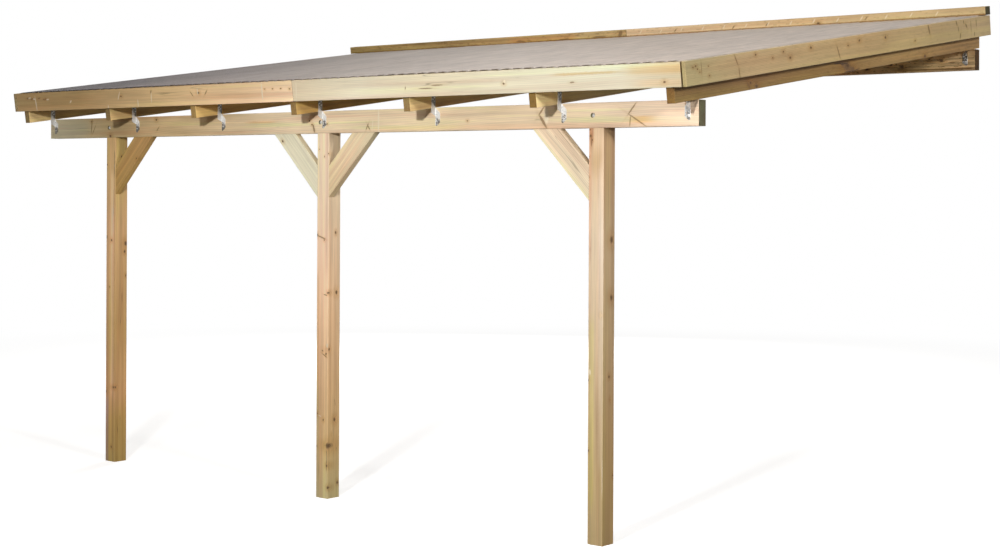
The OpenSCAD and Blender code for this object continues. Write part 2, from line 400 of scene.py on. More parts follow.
# The outline runs along the piece and across it, or along and into it where the plane is
# "y"; the piece is this thick square to the outline
def timber(node, place, outline, thick, look, plane="z", holes=()):
    name, solid = node + "_timber", bmesh.new()
    flat = {"z": lambda x, d: (x, -thick / 2, d), "y": lambda x, d: (x, d, -thick / 2)}[plane]
    lift = {"z": (0, thick, 0), "y": (0, 0, thick)}[plane]
    first = solid.faces.new([solid.verts.new(flat(x, d)) for x, d in outline])
    thicken(solid, [first], lift)
    bmesh.ops.bevel(solid, geom=solid.edges[:], offset=timberLook["ease"], segments=2,
                    profile=0.5, affect="EDGES", clamp_overlap=True)
    piece = addObject(name, meshOf(name, solid))
    for cutter in holes:
        bore = piece.modifiers.new("bore", "BOOLEAN")
        bore.object, bore.solver = cutter, "EXACT"
        bpy.context.view_layer.update()
        ready = piece.evaluated_get(bpy.context.evaluated_depsgraph_get())
        piece.data = bpy.data.meshes.new_from_object(ready)
        piece.modifiers.clear()
    mesh = piece.data
    mesh.name = name
    points = [v.co.copy() for v in mesh.vertices]
    low = Vector(min(p[i] for p in points) for i in range(3))
    high = Vector(max(p[i] for p in points) for i in range(3))
    seed = Vector((seedOf.uniform(0, 40), seedOf.uniform(0, 3), seedOf.uniform(0, 3)))
    grain, placed = (mesh.attributes.new(key, "FLOAT_VECTOR", "POINT") for key in ("grain", "place"))
    cut, flank = (mesh.attributes.new(key, "FLOAT", "FACE") for key in ("cut", "flank"))
    for i, p in enumerate(points):
        placed.data[i].vector = p
        grain.data[i].vector = p + seed
    for face in mesh.polygons:
        cut.data[face.index].value = abs(face.normal.x) > timberLook["endFrom"]
        flank.data[face.index].value = abs(face.normal.z) > timberLook["flankFrom"]
        face.use_smooth = True
    layOut(mesh, low, high)
    piece.modifiers.new("even shading", "WEIGHTED_NORMAL").keep_sharp = True
    mesh.materials.clear()
    mesh.materials.append(pine(name, look, low, high))
    mesh.transform(place)
    mesh.update()
    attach(piece, "root")
    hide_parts(node)


def rectangle(length, depth):
    return [(0, -depth / 2), (length, -depth / 2), (length, depth / 2), (0, depth / 2)]


# A board that lies on the slope and runs across it; one that drops is bedded in the
# sheets' valleys
def crossBoard(node, look, drop=0):
    low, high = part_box(node)
    thick, depth = slopeSize(node)
    start = middleOf(node) - offSlope * (drop / 2)
    start.x = low.x
    timber(node, placeAt(start, right, upSlope), rectangle(high.x - low.x, depth + drop), thick,
           look)


def circle(radius, sides, x=0, y=0):
    return [(x + radius * math.cos(a), y + radius * math.sin(a))
            for a in (2 * math.pi * i / sides for i in range(sides))]


# Turns a profile of radius and height about the place's z
def lathe(steel, profile, place, sides=20):
    rows = []
    for radius, high in profile:
        if radius == 0:
            rows.append([steel.verts.new(place @ Vector((0, 0, high)))])
            continue
        rows.append([steel.verts.new(place @ Vector((x, y, high))) for x, y in circle(radius, sides)])
    for lower, upper in zip(rows, rows[1:]):
        for i in range(sides):
            j = (i + 1) % sides
            if len(lower) == 1:
                steel.faces.new((lower[0], upper[i], upper[j]))
            elif len(upper) == 1:
                steel.faces.new((lower[i], upper[0], lower[j]))
            else:
                steel.faces.new((lower[i], upper[i], upper[j], lower[j]))


def addPiece(name, solid, material, stands=()):
    mesh = meshOf(name, solid)
    for face in mesh.polygons:
        face.use_smooth = True
    mesh.set_sharp_from_angle(angle=math.radians(40))
    mesh.materials.append(material)
    piece = addObject(name, mesh)
    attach(piece, "root")
    if stands:
        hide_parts(*stands)


zincLook = {"pale": (0.78, 0.77, 0.75), "dull": (0.15, 0.14, 0.12), "rust": (0.11, 0.07, 0.035),
            "flakes": 170, "clouds": 38, "stains": 60}       # the last three in a metre


# worn is the share of dull metal; a painted sheen attribute above 0 paints a place brighter, as the
# painted highlight on the anchors' folds
def zinc(name, rust=0, rough=0.42, worn=0.5):
    material, wire = newMaterial(name)
    spot = wire.node("TexCoord", out="Object")
    cells = {"Vector": spot, "Scale": zincLook["flakes"], "Randomness": 1}
    flake = wire.node("TexVoronoi", None, cells, out="Color").part(0)
    cloud = (spot * zincLook["clouds"]).noise(3)
    sheen = wire.attribute("sheen")
    bright = (cloud + (flake - 0.5) * 0.35 + sheen * 0.6).rise(worn - 0.2, worn + 0.2)
    colour = wire.blend(bright, zincLook["dull"], zincLook["pale"])
    stain = (spot * zincLook["stains"] + (3, 1, 2)).noise(2).rise(0.6, 0.72) * rust * (1 - sheen)
    colour = colour.over(stain, (*zincLook["rust"], 1))
    finish(wire, wire.node("BsdfPrincipled", None, {
        "Base Color": colour, "Metallic": (1 - stain) * (0.9 - bright * 0.6),
        "Normal": (flake + cloud).bump(0.25, 0.0004),
        "Roughness": flake * 0.12 + cloud * 0.15 + (rough - 0.12) + stain * 0.3}))
    return material


# The camera comes first because the looks are set to it
cameraSet = {"right": 7.045, "front": 6.5, "eye": 1.757, "turn": 40.43, "tip": 0.26,
             "lens": 63.29, "sensor": 36, "shiftY": -0.0965, "reach": 200}


def addCamera():
    view, data = cameraSet, bpy.data.cameras.new("camera")
    data.lens, data.sensor_width = view["lens"], view["sensor"]
    data.shift_y, data.clip_end = view["shiftY"], view["reach"]
    camera = addObject("camera", data)
    camera.location = (view["right"], cadLow.y - view["front"], ground + view["eye"])
    turns = (90, -view["tip"], view["turn"])
    camera.rotation_euler = [math.radians(turn) for turn in turns]
    bpy.context.scene.camera = camera


addCamera()
print("camera set")

postLooks = {
    "post_left": {
        "tones": [(0.16, (0.76, 0.49, 0.23)), (0.32, (0.84, 0.51, 0.27)), (0.62, (0.72, 0.44, 0.19)),
                  (0.8, (0.85, 0.48, 0.23)), (0.88, (0.65, 0.4, 0.14)), (1, (0.53, 0.35, 0.12))],
        "flank": (0.81, 0.82, 0.74), "tint": 0.7, "bands": 0.55,
        "stripes": [(0.35, 1.7, 0.014, 0.014, (1.22, 1.32, 1.5)),
                    (0.2, 1.6, -0.036, 0.008, (0.9, 0.88, 0.92)),
                    (0.35, 1.6, 0.04, 0.005, (0.88, 0.86, 0.8)),
                    (1.74, 2.25, -0.032, 0.014, (0.92, 1.02, 1.9))],
        "knots": [(0.29, -0.038, 0.005), (0.76, 0.008, 0.006), (1.7, -0.042, 0.007), (1.67, 0.03, 0.005),
                  (2.04, 0.012, 0.005), (1.05, -0.012, 0.003)],
        "sideKnots": [(0.78, 0.034, 0.011), (0.83, 0.026, 0.007), (0.98, 0.036, 0.005),
                      (1.67, -0.04, 0.006), (0.24, 0, 0.004)],
        "spikes": [(0.74, -0.04, 0.006, 0.012, 0)],
        "cracks": [(0.21, 0.36, 0.032, 0.002), (0.44, 0.6, 0.026, 0.0012)],
        "pitch": [(0.3, 0.034, 0.003, 0.02, 0), (0.6, 0.018, 0.006, 0.05, 0),
                  (0.68, 0.022, 0.004, 0.04, 0)],
    },
    "post_middle": {
        "tones": [(0.16, (0.95, 0.73, 0.53)), (0.35, (0.94, 0.66, 0.46)), (0.55, (0.87, 0.57, 0.35)),
                  (0.72, (0.78, 0.5, 0.27)), (0.88, (0.67, 0.44, 0.21)), (1, (0.59, 0.46, 0.24))],
        "flank": (0.87, 0.89, 0.82), "lean": -0.02, "bands": 0.36,
        "stripes": [(0.9, 2.2, 0.03, 0.016, (1.12, 1.16, 1.15)),
                    (1.5, 2.2, -0.034, 0.014, (0.88, 0.98, 1.02)),
                    (0.9, 1.7, -0.034, 0.008, (0.9, 0.86, 0.78))],
        "knots": [(0.21, -0.03, 0.003), (0.25, 0.012, 0.003), (0.235, 0.042, 0.003),
                  (0.685, -0.042, 0.006), (0.71, 0.012, 0.004), (1, 0.042, 0.005), (1.335, 0.03, 0.005),
                  (1.32, 0.002, 0.004), (1.67, -0.038, 0.005), (1.7, 0.01, 0.005), (1.84, 0.042, 0.012),
                  (1.85, -0.044, 0.005), (1.95, 0.038, 0.006), (2.07, 0.044, 0.006)],
        "sideKnots": [(0.67, 0.01, 0.006), (1, 0.018, 0.009), (1.31, -0.036, 0.006), (1.7, 0.006, 0.009),
                      (1.84, -0.038, 0.009), (2.05, 0.03, 0.007)],
        "spikes": [(0.695, -0.01, 0.034, 0.004, 0.3), (1.012, 0.024, 0.014, 0.003, 0.2),
                   (1.345, 0.018, 0.02, 0.003, 0.5)],
        "pitch": [(1.29, 0.042, 0.01, 0.012, 0), (1.68, -0.018, 0.012, 0.003, 0.3)],
        "cracks": [(1.86, 1.97, 0.039, 0.002)],
    },
    "post_right": {
        "tones": [(0.16, (0.7, 0.5, 0.32)), (0.3, (0.75, 0.59, 0.41)), (0.55, (0.67, 0.51, 0.32)),
                  (0.7, (0.59, 0.43, 0.24)), (0.85, (0.55, 0.4, 0.2)), (1, (0.5, 0.36, 0.18))],
        "flank": (0.71, 0.63, 0.53), "lean": 0.01, "bands": 0.36,
        "stripes": [(0.3, 1.75, 0.03, 0.014, (1.16, 1.22, 1.34)),
                    (0, 0.2, -0.032, 0.015, (0.8, 0.62, 0.56)),
                    (0.2, 0.75, -0.038, 0.009, (0.98, 0.84, 0.82)),
                    (1.05, 1.95, -0.024, 0.014, (0.98, 1.04, 0.82)),
                    (0.22, 0.34, 0, 0.03, (0.86, 0.82, 0.72))],
        "knots": [(0.16, -0.034, 0.006), (0.18, -0.024, 0.004), (0.13, -0.04, 0.004), (0.1, -0.026, 0.006),
                  (0.06, -0.038, 0.004), (0.26, -0.042, 0.003), (1.34, -0.043, 0.005),
                  (1.68, -0.044, 0.005), (0.36, -0.044, 0.003)],
        "sideKnots": [(0.66, 0.02, 0.014), (0.94, 0.02, 0.012), (1.32, 0.004, 0.006), (1.8, 0.04, 0.005)],
        "spikes": [(0.19, -0.03, 0.004, 0.024, 0.2)],
        "pitch": [(1.3, -0.034, 0.006, 0.014, 0.2), (1.8, 0.042, 0.002, 0.1, 0)],
    },
}


# The front of the head is cut away for the beam, and the tongue stays behind it
def addPost(node):
    low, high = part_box(node)
    size, half = high.z - low.z, (high.y - low.y) / 2
    head, notch = high.z - beamLow.z, beamHigh.y - low.y - half
    outline = [(0, notch), (head, notch), (head, -half), (size, -half), (size, half), (0, half)]
    start = middleOf(node)
    start.z = high.z
    timber(node, placeAt(start, -up, back), outline, high.x - low.x, postLooks[node],
           plane="y")


for node in postLooks:
    addPost(node)


braceWidth = 0.122
braceLooks = {
    "brace_left": {
        "tones": [(0.2, (0.56, 0.34, 0.11)), (0.8, (0.62, 0.37, 0.14))], "streaks": 0.3,
        "knots": [(0.3, 0.012, 0.005), (0.44, -0.03, 0.005), (0.52, 0.03, 0.004)],
    },
    "brace_middle_left": {
        "tones": [(0.2, (0.82, 0.76, 0.56)), (0.8, (0.85, 0.79, 0.58))], "tint": 0.3,
        "knots": [(0.42, -0.02, 0.006)],
    },
    "brace_middle_right": {
        "tones": [(0.1, (0.77, 0.6, 0.36)), (0.5, (0.84, 0.65, 0.42)), (0.9, (0.83, 0.69, 0.45))],
    },
    "brace_right": {"tones": [(0.1, (0.73, 0.6, 0.42)), (0.9, (0.79, 0.63, 0.44))]},
}


# Mitred at both ends, plumb on the post and level under the beam
def addBrace(node, climbs):
    low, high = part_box(node)
    leg, mitre = high.x - low.x, braceWidth * math.sqrt(2)
    out = right * climbs
    along = (out + up).normalized()
    foot = Vector((low.x if climbs > 0 else high.x, (low.y + high.y) / 2, low.z))
    corners = [out * x + up * z for x, z in ((0, 0), (0, mitre), (leg - mitre, leg), (leg, leg))]
    outline = [(corner.dot(along), corner.dot(along.cross(back))) for corner in corners]
    timber(node, placeAt(foot, along, back), outline, high.y - low.y, braceLooks[node])


for node in braceLooks:
    addBrace(node, 1 if node in ("brace_left", "brace_middle_right") else -1)
print("posts and braces built")

beamLooks = {
    "front_beam": {
        "tones": [(0.02, (0.77, 0.63, 0.4)), (0.12, (0.6, 0.45, 0.23)), (0.25, (0.77, 0.56, 0.3)),
                  (0.45, (0.88, 0.71, 0.48)), (0.75, (0.76, 0.59, 0.39)), (0.95, (0.77, 0.6, 0.43))],
        "tint": 0.9, "streaks": 0.16, "bands": 0.36, "patches": 0.26, "rings": 0.08,
        "stripes": [(0, 0.4, 0, 0.06, (0.92, 1, 1.06)), (1.9, 2.12, 0.01, 0.008, (0.96, 0.84, 0.68)),
                    (4.62, 4.74, -0.024, 0.016, (1, 0.84, 0.62)),
                    (2.9, 4.9, -0.045, 0.012, (1.06, 0.98, 0.94))],
        "cutEnd": (0.17, 0.2, 0.15),
        "knots": [(0.43, 0.04, 0.005), (0.62, -0.052, 0.008), (1.07, 0.04, 0.006), (2.41, 0.009, 0.005),
                  (2.43, -0.012, 0.004), (3.58, -0.012, 0.004), (2.55, -0.01, 0.004)],
        "spikes": [(0.43, 0.012, 0.045, 0.004, 0.1), (0.455, -0.01, 0.028, 0.003, 0.6),
                   (1.085, -0.015, 0.012, 0.004, 0.85), (2.445, -0.034, 0.024, 0.007, -0.3),
                   (2.86, -0.03, 0.018, 0.004, 0.5), (2.87, -0.032, 0.016, 0.004, -0.6),
                   (4.07, 0.03, 0.026, 0.006, 0.8), (4.078, -0.024, 0.036, 0.009, -0.7),
                   (4.62, 0.026, 0.03, 0.005, 0.85), (4.65, -0.027, 0.032, 0.007, -1.7),
                   (4.61, -0.03, 0.028, 0.003, 0.1)],
        "pitch": [(2.945, 0, 0.07, 0.006, 0), (2.9, -0.02, 0.03, 0.003, 0.1),
                  (4.1, 0.003, 0.04, 0.014, 0)],
    },
    "wall_beam": {
        "tones": [(0.6, (0.72, 0.42, 0.18)), (0.8, (0.75, 0.4, 0.17)), (0.92, (0.79, 0.56, 0.26)),
                  (1, (0.79, 0.54, 0.28))],
        "streaks": 1, "patches": 0.55, "bands": 0.5, "specks": 0.9, "flecks": 0.9,
        "cutEnd": (0.1, 0.065, 0.022),
        "knots": [(4.3, -0.03, 0.008), (4.46, -0.01, 0.009), (4.53, -0.025, 0.012), (4.62, 0.02, 0.008),
                  (4.71, 0.012, 0.006), (4.79, 0.001, 0.01)],
        "stripes": [(4.5, 5, -0.048, 0.006, (0.5, 0.45, 0.35))],
    },
}

boltLook = {
    "inset": 0.022, "recess": 0.013, "recessDeep": 0.012,
    # radius and height of what is turned, from the floor of the recess
    "washer": [(0, -0.0015), (0.011, -0.0015), (0.011, 0)],
    "head": [(0, -0.008), (0.0075, -0.008), (0.0088, -0.0068), (0.0088, -0.0015)],
    # and from the back of the post
    "rearWasher": [(0.012, 0), (0.012, 0.002), (0.005, 0.002)],
    "nut": [(0.0095, 0.002), (0.0095, 0.0072), (0.0082, 0.0082), (0.005, 0.0082)],
    "thread": [(0.005 if i % 2 else 0.0044, 0.002 + i * 0.0006) for i in range(15)] + [(0, 0.0108)],
}
intoBeam = Matrix.Rotation(math.radians(-90), 4, "X")


def boltPlaces():
    for node in postLooks:
        yield Vector((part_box(node)[0].x + boltLook["inset"], beamLow.y, middleOf("front_beam").z))


# The cutters lie in the beam's own frame, which starts in the middle of its left end
def boltCutters():
    wide, deep = boltLook["recess"], boltLook["recessDeep"]
    start = middleOf("front_beam")
    start.x = beamLow.x
    for spot in boltPlaces():
        drill = bmesh.new()
        lathe(drill, [(0, -0.01), (wide, -0.01), (wide, deep), (0, deep)],
              Matrix.Translation(spot - start) @ intoBeam, 32)
        yield addObject("drill", meshOf("drill", drill))


def addBeam(node, holes=()):
    low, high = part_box(node)
    size = high - low
    start = middleOf(node) - right * (size.x / 2)
    timber(node, placeAt(start, right, back), rectangle(size.x, size.z), size.y, beamLooks[node],
           holes=holes)


cutters = list(boltCutters())
addBeam("front_beam", cutters)
for cutter in cutters:
    bpy.data.objects.remove(cutter)
addBeam("wall_beam")
print("beams built")

rafterLooks = {
    "rafter_1": {"tones": [(0.5, (0.78, 0.56, 0.26))], "cutEnd": (0.5, 0.47, 0.42)},
    "rafter_2": {"tones": [(0.5, (0.69, 0.48, 0.21))], "cutEnd": (0.5, 0.47, 0.42)},
    "rafter_3": {"tones": [(0.5, (0.83, 0.54, 0.2))], "cutEnd": (0.63, 0.61, 0.58)},
    "rafter_4": {"tones": [(0.5, (0.59, 0.36, 0.12))], "cutEnd": (0.6, 0.6, 0.62)},
    "rafter_5": {"tones": [(0.5, (0.8, 0.57, 0.26))], "cutEnd": (0.42, 0.39, 0.32)},
    "rafter_6": {"tones": [(0.5, (0.95, 0.74, 0.37))], "tint": 0.2, "cutEnd": (0.26, 0.19, 0.09)},
    "rafter_7": {
        "tones": [(0, (0.25, 0.15, 0.05)), (0.2, (0.31, 0.18, 0.07)), (0.45, (0.36, 0.21, 0.07)),
                  (0.65, (0.45, 0.28, 0.11)), (0.9, (0.5, 0.3, 0.12))],
        "flecks": 0.25,
        "knots": [(0.64, -0.039, 0.009), (0.69, -0.06, 0.012), (1.53, -0.026, 0.012),
                  (1.575, -0.042, 0.026), (1.63, -0.062, 0.016), (2.45, -0.062, 0.01)],
        "spikes": [(1.545, -0.036, 0.03, 0.022, -1.4), (1.61, -0.058, 0.014, 0.034, -1),
                   (1.5, -0.014, 0.007, 0.06, 0.3), (0.62, -0.05, 0.02, 0.01, -0.6)],
        "cracks": [(1.44, 1.58, -0.016, 0.003), (1.55, 1.7, -0.062, 0.003)],
        "streaks": 0.4, "bands": 0.4, "cutEnd": (0.9, 0.78, 0.56),
    },
}
sheetThick = 0.0014
rafterDepth = (lowBatten - eave).dot(offSlope) - slopeSize("roof_batten_1")[1] / 2


# Square at the front end and plumb at the wall
def addRafter(node):
    low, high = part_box(node)
    depth = rafterDepth
    front = (low.y - eave.y + depth * math.sin(slope)) / math.cos(slope)
    bottomEnd = -eave.y / math.cos(slope)
    topEnd = bottomEnd + depth * math.tan(slope)
    start = roofPoint((low.x + high.x) / 2, front, depth / 2)
    outline = [(0, -depth / 2), (bottomEnd - front, -depth / 2), (topEnd - front, depth / 2),
               (0, depth / 2)]
    timber(node, placeAt(start, upSlope, -right), outline, high.x - low.x, rafterLooks[node])


for node in rafterLooks:
    addRafter(node)


boardLooks = {
    "fascia_left": {
        "tones": [(0.02, (0.52, 0.36, 0.16)), (0.25, (0.53, 0.35, 0.15)), (0.42, (0.7, 0.47, 0.23)),
                  (0.6, (0.79, 0.55, 0.28)), (0.85, (0.9, 0.63, 0.37)), (1, (0.93, 0.67, 0.44))],
        "flank": (0.95, 0.95, 0.92), "tint": 0.6,
        "stripes": [(-0.1, 2.6, -0.047, 0.014, (1.14, 1.12, 1.16))],
        "knots": [(1.065, 0.012, 0.005), (1.776, 0.012, 0.006), (2.336, 0.017, 0.003), (2.4, 0.017, 0.003),
                  (2.465, 0.016, 0.003), (2.536, 0.012, 0.004), (0.31, 0.016, 0.004),
                  (0.17, 0.022, 0.003)],
        "spikes": [(1.715, 0.008, 0.013, 0.004, -0.8), (1.84, 0.012, 0.013, 0.005, 0.8),
                   (0.12, 0.024, 0.006, 0.012, 0.8), (0.16, 0.016, 0.005, 0.01, -0.8),
                   (0.24, 0.022, 0.005, 0.012, 0.8), (0.29, 0.014, 0.005, 0.01, -0.8),
                   (1.35, 0.03, 0.01, 0.005, 0.3)],
        "pitch": [(0.203, -0.012, 0.046, 0.005, -0.1), (0.14, 0.026, 0.005, 0.014, 0.9),
                  (0.19, 0.018, 0.005, 0.012, -0.9), (0.33, 0.012, 0.005, 0.014, 0.9),
                  (0.564, -0.007, 0.009, 0.008, 0.7), (1.045, 0.015, 0.026, 0.004, 0.5),
                  (0.933, -0.05, 0.014, 0.004, 0), (1.22, -0.034, 0.024, 0.004, 0),
                  (1.349, -0.002, 0.032, 0.004, 0.1), (1.768, 0.02, 0.02, 0.005, 0),
                  (2.313, 0, 0.056, 0.005, 0)],
    },
    "fascia_right": {
        "tones": [(0.02, (0.77, 0.64, 0.44)), (0.2, (0.8, 0.72, 0.53)), (0.38, (0.76, 0.66, 0.46)),
                  (0.65, (0.72, 0.66, 0.49)), (0.88, (0.69, 0.65, 0.49)), (1, (0.62, 0.51, 0.32))],
        "tint": 0.5, "streaks": 0.1, "rings": 0.08, "patches": 0.1,
        "stripes": [(2.24, 2.7, 0.028, 0.02, (0.98, 0.86, 0.68)),
                    (1.82, 2.2, 0.024, 0.006, (0.94, 0.82, 0.62)),
                    (2.3, 2.6, -0.034, 0.016, (1.06, 0.96, 0.9)),
                    (0.1, 1.3, -0.048, 0.01, (1.06, 1.04, 1.05))],
        "knots": [(1.498, -0.008, 0.005), (2.447, -0.032, 0.006)],
        "spikes": [(1.06, -0.002, 0.003, 0.04, 1.8), (0.98, -0.016, 0.003, 0.05, -1.5),
                   (0.84, -0.01, 0.008, 0.003, 0.2), (1.92, -0.016, 0.004, 0.014, 0.5)],
        "pitch": [(1.505, 0.002, 0.008, 0.007, 0), (0.03, 0, 0.05, 0.004, 0.1)],
    },
    "barge_board_right": {
        "tones": [(0.02, (0.48, 0.38, 0.19)), (0.15, (0.57, 0.4, 0.21)), (0.4, (0.63, 0.45, 0.22)),
                  (0.5, (0.61, 0.42, 0.2)), (0.8, (0.67, 0.48, 0.24)), (1, (0.72, 0.53, 0.29))],
        "flank": (1.35, 1.56, 2.14), "streaks": 0.14, "tint": 0.35, "specks": 0.22,
        "flecks": 0.14, "cutEnd": (1, 0.98, 0.92),
        "knots": [(0.06, 0.024, 0.004), (0.081, 0.029, 0.005), (0.095, 0.014, 0.004),
                  (0.113, -0.001, 0.004), (0.185, 0.02, 0.003), (0.187, -0.025, 0.004),
                  (0.59, 0.038, 0.005), (0.74, 0.011, 0.004), (0.84, 0.032, 0.005), (0.9, -0.002, 0.007),
                  (1.1, 0.031, 0.007), (1.47, 0.012, 0.005), (1.59, 0.029, 0.007), (1.87, 0.023, 0.007),
                  (2.2, -0.02, 0.005)],
        "spikes": [(0.42, 0.026, 0.026, 0.005, -0.5), (0.44, -0.035, 0.026, 0.004, -0.1),
                   (1.37, -0.015, 0.034, 0.005, -0.4), (2.37, 0.03, 0.03, 0.008, -0.3),
                   (2.71, 0.04, 0.016, 0.006, -0.4), (2.73, 0.005, 0.016, 0.004, -0.2),
                   (2.75, -0.034, 0.018, 0.006, 0.4), (2.8, 0.04, 0.012, 0.005, -0.3),
                   (2.83, 0.018, 0.014, 0.008, -0.6), (2.89, 0.01, 0.034, 0.003, 0),
                   (2.96, 0.024, 0.022, 0.004, 0), (2.93, -0.036, 0.012, 0.004, 0.2),
                   (0.128, 0.016, 0.034, 0.002, 0)],
    },
    "barge_board_left": {
        "tones": [(0.02, (0.46, 0.34, 0.17)), (0.5, (0.57, 0.41, 0.21)), (1, (0.63, 0.45, 0.23))],
        "streaks": 0.14, "specks": 0.22, "cutEnd": (1, 0.98, 0.92),
        "knots": [(0.5, 0.02, 0.006), (1.2, -0.02, 0.007), (1.9, 0.03, 0.006), (2.6, 0, 0.007)],
        "spikes": [(0.9, 0, 0.03, 0.006, 0.3), (2.2, 0.01, 0.034, 0.007, -0.3)],
    },
}


def addBarge(node):
    low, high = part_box(node)
    length, depth = slopeSize(node)
    start = middleOf(node) - upSlope * (length / 2)
    timber(node, placeAt(start, upSlope, -right), rectangle(length, depth), high.x - low.x,
           boardLooks[node])


for node in ("barge_board_left", "barge_board_right"):
    addBarge(node)
for node in ("fascia_left", "fascia_right"):
    crossBoard(node, boardLooks[node])


battenLooks = {
    "roof_batten_1": {"tones": [(0.5, (0.6, 0.44, 0.22))], "specks": 0.4},
    "roof_batten_2": {"tones": [(0.5, (0.62, 0.45, 0.25))], "specks": 0.4},
    "roof_batten_3": {"tones": [(0.5, (0.58, 0.42, 0.21))], "specks": 0.4},
    "roof_batten_4": {"tones": [(0.5, (0.64, 0.46, 0.24))], "specks": 0.4},
    "roof_batten_5": {"tones": [(0.5, (0.6, 0.43, 0.22))], "specks": 0.4},
    "top_batten_left": {
        "tones": [(0.3, (0.49, 0.35, 0.13)), (0.6, (0.52, 0.35, 0.15)), (1, (0.64, 0.47, 0.22))],
        "flecks": 0.5, "streaks": 0.45, "bands": 0.4, "patches": 0.5, "specks": 0.6, "tint": 0.9,
        "cutEnd": (0.35, 0.36, 0.28),
        # the first stripe darkens the lower edge, where the batten lies on the sheets: painted shadow and
        # dirt
        "stripes": [(-0.1, 2.8, -0.022, 0.007, (0.5, 0.4, 0.28)), (1.6, 2.2, 0, 0.02, (1, 0.82, 0.72))],
        "spikes": [(2.58, 0, 0.022, 0.016, 0.4), (2.4, -0.012, 0.006, 0.06, 0),
                   (2.1, -0.014, 0.005, 0.05, 0), (1.7, -0.01, 0.005, 0.04, 0)],
    },
    "top_batten_right": {
        "tones": [(0.1, (0.8, 0.6, 0.36)), (0.5, (0.72, 0.53, 0.28)), (1, (0.66, 0.49, 0.25))],
        "flecks": 0.35, "streaks": 0.26, "specks": 0.45, "cutEnd": (0.1, 0.11, 0.08),
        # this stripe darkens the lower edge, where the batten lies on the sheets: painted shadow and dirt
        "stripes": [(-0.1, 2.7, -0.022, 0.007, (0.5, 0.4, 0.28))],
        "knots": [(1.47, -0.012, 0.008)],
        "spikes": [(0.4, 0, 0.01, 0.005, 0.9), (0.85, -0.004, 0.01, 0.005, 0.9),
                   (1.1, 0, 0.01, 0.005, 0.9), (1.8, 0, 0.01, 0.005, 0.9)],
        "pitch": [(0.12 + 0.165 * i, 0.004 - i % 2 * 0.003, 0.013, 0.005, 0.7)
                  for i in range(14)],
    },
}
valleyDeep = slopeSize("roof_sheet_1")[1] - sheetThick
for node in battenLooks:
    crossBoard(node, battenLooks[node], valleyDeep if "top" in node else 0)
print("roof timbers built")

sheetLook = {
    "crest": 0.042, "side": 0.006, "bend": 0.0016,
    # dark at the front left and paler towards the back right
    "tones": [(0, (0.11, 0.095, 0.095)), (0.16, (0.12, 0.1, 0.1)), (0.34, (0.32, 0.27, 0.25)),
              (0.55, (0.55, 0.48, 0.43)), (0.8, (0.73, 0.64, 0.57)), (1, (0.68, 0.58, 0.5))],
    "opaque": 0.82, "rough": 0.36, "shine": 0.12,
    "thinEdge": (0.03, 0.4),           # within this of the front edge it is this much clearer
    "crestDrop": 0.004,                # the ribs stay this far below the top of their box
    # the patterns in a metre: X, Y, Z
    "dirt": (1.6, 0.6, 1.6), "wash": (34, 0.7, 34), "dust": (60, 9, 60),
    "hazeTurn": 0.85, "hazeLong": 5.2,
}
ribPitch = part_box("roof_sheet_1")[1].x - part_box("roof_sheet_2")[0].x


# Dirt is washed into streaks down the slope
def smokePlastic():
    look = sheetLook
    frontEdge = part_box("roof_sheet_1")[0]
    material, wire = newMaterial("smoke_plastic")
    spot = wire.node("TexCoord", out="Object")
    dirt, wash = (spot * look["dirt"]).noise(3), (spot * look["wash"]).noise(3, 0.6)
    dust, turn = (spot * look["dust"]).noise(2), look["hazeTurn"]
    across = spot.dot((1, turn, 0)) - (frontEdge.x + frontEdge.y * turn)
    haze = across * (1 / look["hazeLong"]) + (dirt - 0.5) * 0.12
    colour = wire.node("ValToRGB", {"stops": look["tones"]}, {0: haze}, out="Color")
    colour = colour * ((wash - 0.5) * 0.9 + (dust - 0.5) * 0.15 + (dirt - 0.5) * 0.25 + 1)
    near, clearer = look["thinEdge"]
    thin = (spot.part(1) - frontEdge.y).rise(near, 0) * -clearer
    finish(wire, wire.node("BsdfPrincipled", None, {
        "Base Color": colour, "Roughness": dust * 0.12 + look["rough"], "IOR": 1.45,
        "Normal": (dirt + dust * 0.2 + wash * 0.2).bump(0.15, 0.002),
        "Specular IOR Level": look["shine"], "Alpha": thin + look["opaque"]}))
    return material


# One rib's line from mid valley to mid valley, with rounded bends
def ribLine(start, low, high):
    look = sheetLook
    valley = ribPitch - look["crest"] - 2 * look["side"]
    rise, fall, end = start + valley / 2, start + ribPitch - valley / 2, start + ribPitch
    corners = [Vector(corner) for corner in (
        (start, low), (rise, low), (rise + look["side"], high), (fall - look["side"], high),
        (fall, low), (end, low))]
    line = []
    for before, here, after in zip(corners, corners[1:], corners[2:]):
        arrive = here + (before - here).normalized() * look["bend"]
        leave = here + (after - here).normalized() * look["bend"]
        line += [arrive, (arrive + leave + here * 2) / 4, leave]
    return line


def addSheet(node, material):
    low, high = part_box(node)
    length, tall = slopeSize(node)
    base = (middleOf(node) - eave).dot(offSlope) - tall / 2
    middle = (middleOf(node) - eave).dot(upSlope)
    line = [Vector((low.x, base))]
    crest = base + tall - sheetThick - sheetLook["crestDrop"]
    for i in range(round((high.x - low.x) / ribPitch)):
        line += ribLine(low.x + i * ribPitch, base, crest)
    line.append(Vector((high.x, base)))
    sheet = bmesh.new()
    rim = [(p.x, p.y) for p in line] + [(p.x, p.y + sheetThick) for p in line[::-1]]
    rows = [[sheet.verts.new(roofPoint(x, s, n)) for x, n in rim]
            for s in (middle - length / 2, middle + length / 2)]
    count = len(rows[0])
    for i in range(count):
        j = (i + 1) % count
        sheet.faces.new((rows[0][i], rows[0][j], rows[1][j], rows[1][i]))
    for row in rows:          # the cut edges, in quads
        for i in range(count // 2 - 1):
            sheet.faces.new((row[i], row[i + 1], row[count - 2 - i], row[count - 1 - i]))
    addPiece(node + "_profile", sheet, material, stands=(node,))


sheetPlastic = smokePlastic()
for i in range(1, 6):
    addSheet("roof_sheet_%d" % i, sheetPlastic)
print("roof sheets built")

